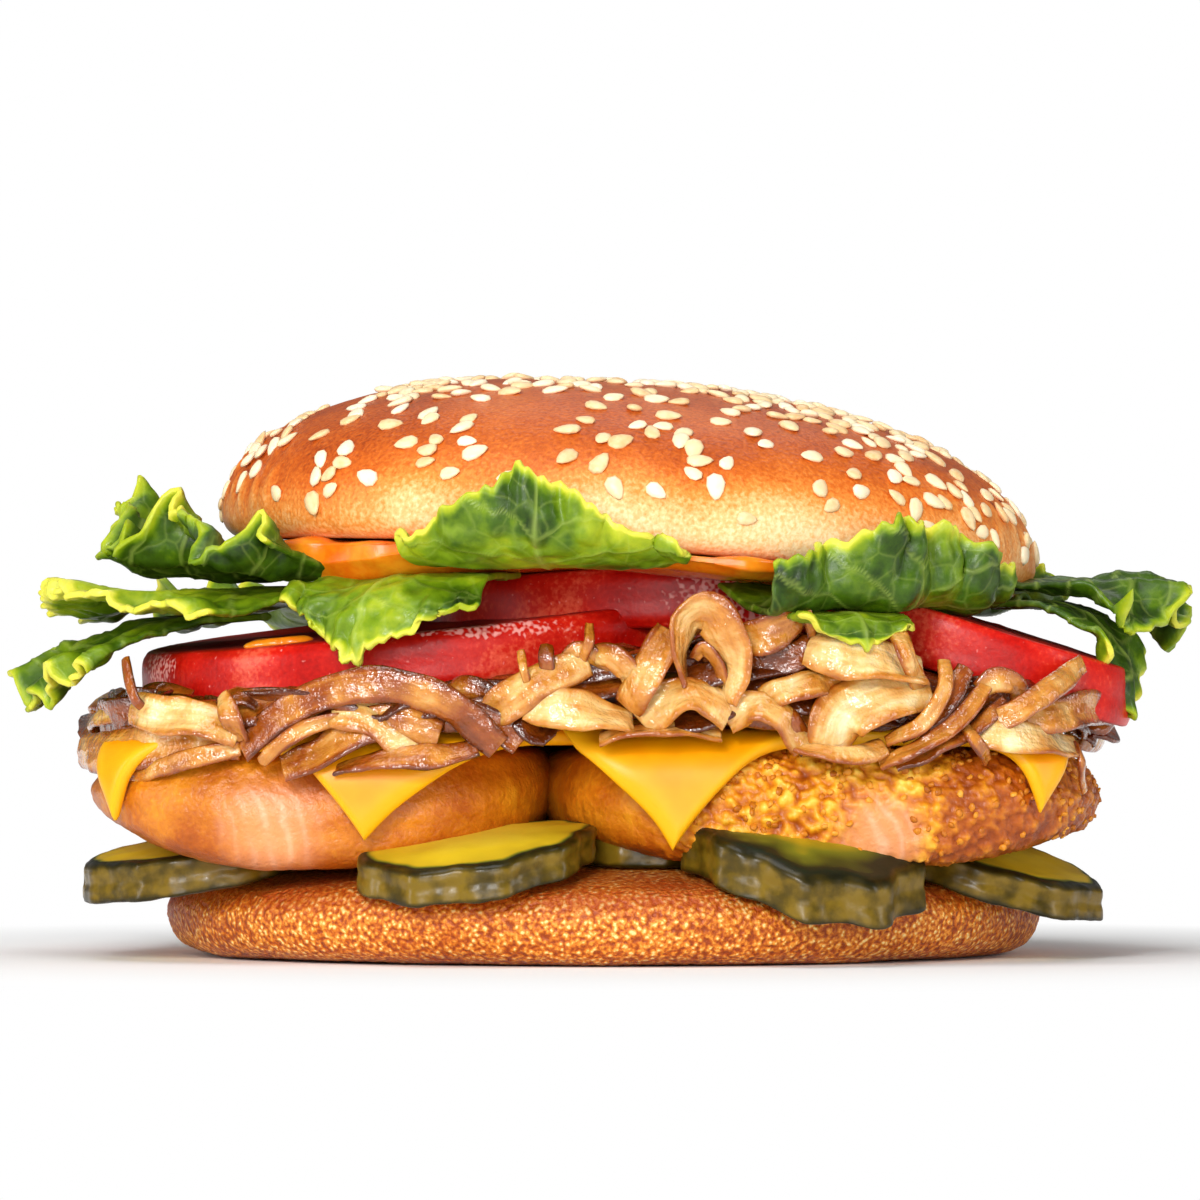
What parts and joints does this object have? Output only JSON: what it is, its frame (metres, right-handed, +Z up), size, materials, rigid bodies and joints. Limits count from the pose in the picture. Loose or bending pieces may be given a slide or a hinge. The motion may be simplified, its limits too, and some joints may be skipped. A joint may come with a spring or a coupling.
{
  "type": "salmon burger",
  "caption": "salmon burger: breaded salmon fillets in a sesame bun with pickles, melted cheese, fried onions, tomato, lettuce and an orange sauce",
  "frame": {"origin": "the middle of the flat underside of the bottom bun, where the burger stands", "axes": "+X to the burger's right as its front is looked at, along its longest side; +Y to its back, so the front is -Y; +Z up"},
  "size_m": [0.1682, 0.137, 0.0835],
  "materials": {
    "bottom_bun": "soft grainy browned crumb, dull",
    "top_bun": "satin glazed golden-brown crust with pale sesame seeds, paler low on the side",
    "pickle": "wet olive green rind with a yellow-green cut face",
    "breading": "golden fried crumb with paler pink patches of fish",
    "cheese": "smooth soft sheen",
    "onion": "glossy translucent fried strips, browned at the edges",
    "tomato": "wet red skin and flesh",
    "lettuce": "crisp waxy leaf with pale ribs",
    "sauce": "thick glossy orange"
  },
  "bodies": {
    "root": {"heel": "bottom_bun", "crown": "top_bun", "pickle_left": "pickle", "pickle_front_left": "pickle", "pickle_inner": "pickle", "pickle_front_right": "pickle", "pickle_right": "pickle", "pickle_back_right": "pickle", "pickle_back": "pickle", "pickle_back_left": "pickle", "pickle_scrap": "pickle", "salmon_left": "breading", "salmon_right": "breading", "cheese_left": "cheese", "cheese_right": "cheese", "onions": "onion", "tomato_left": "tomato", "tomato_middle": "tomato", "tomato_right": "tomato", "sauce": "sauce", "lettuce_left_upper": "lettuce", "lettuce_left_blade": "lettuce", "lettuce_left_lower": "lettuce", "lettuce_front_left": "lettuce", "lettuce_front": "lettuce", "lettuce_right": "lettuce", "lettuce_right_flap": "lettuce", "lettuce_right_tail": "lettuce", "lettuce_right_shred": "lettuce", "lettuce_back_right": "lettuce", "lettuce_back_left": "lettuce"}
  },
  "joints": []
}
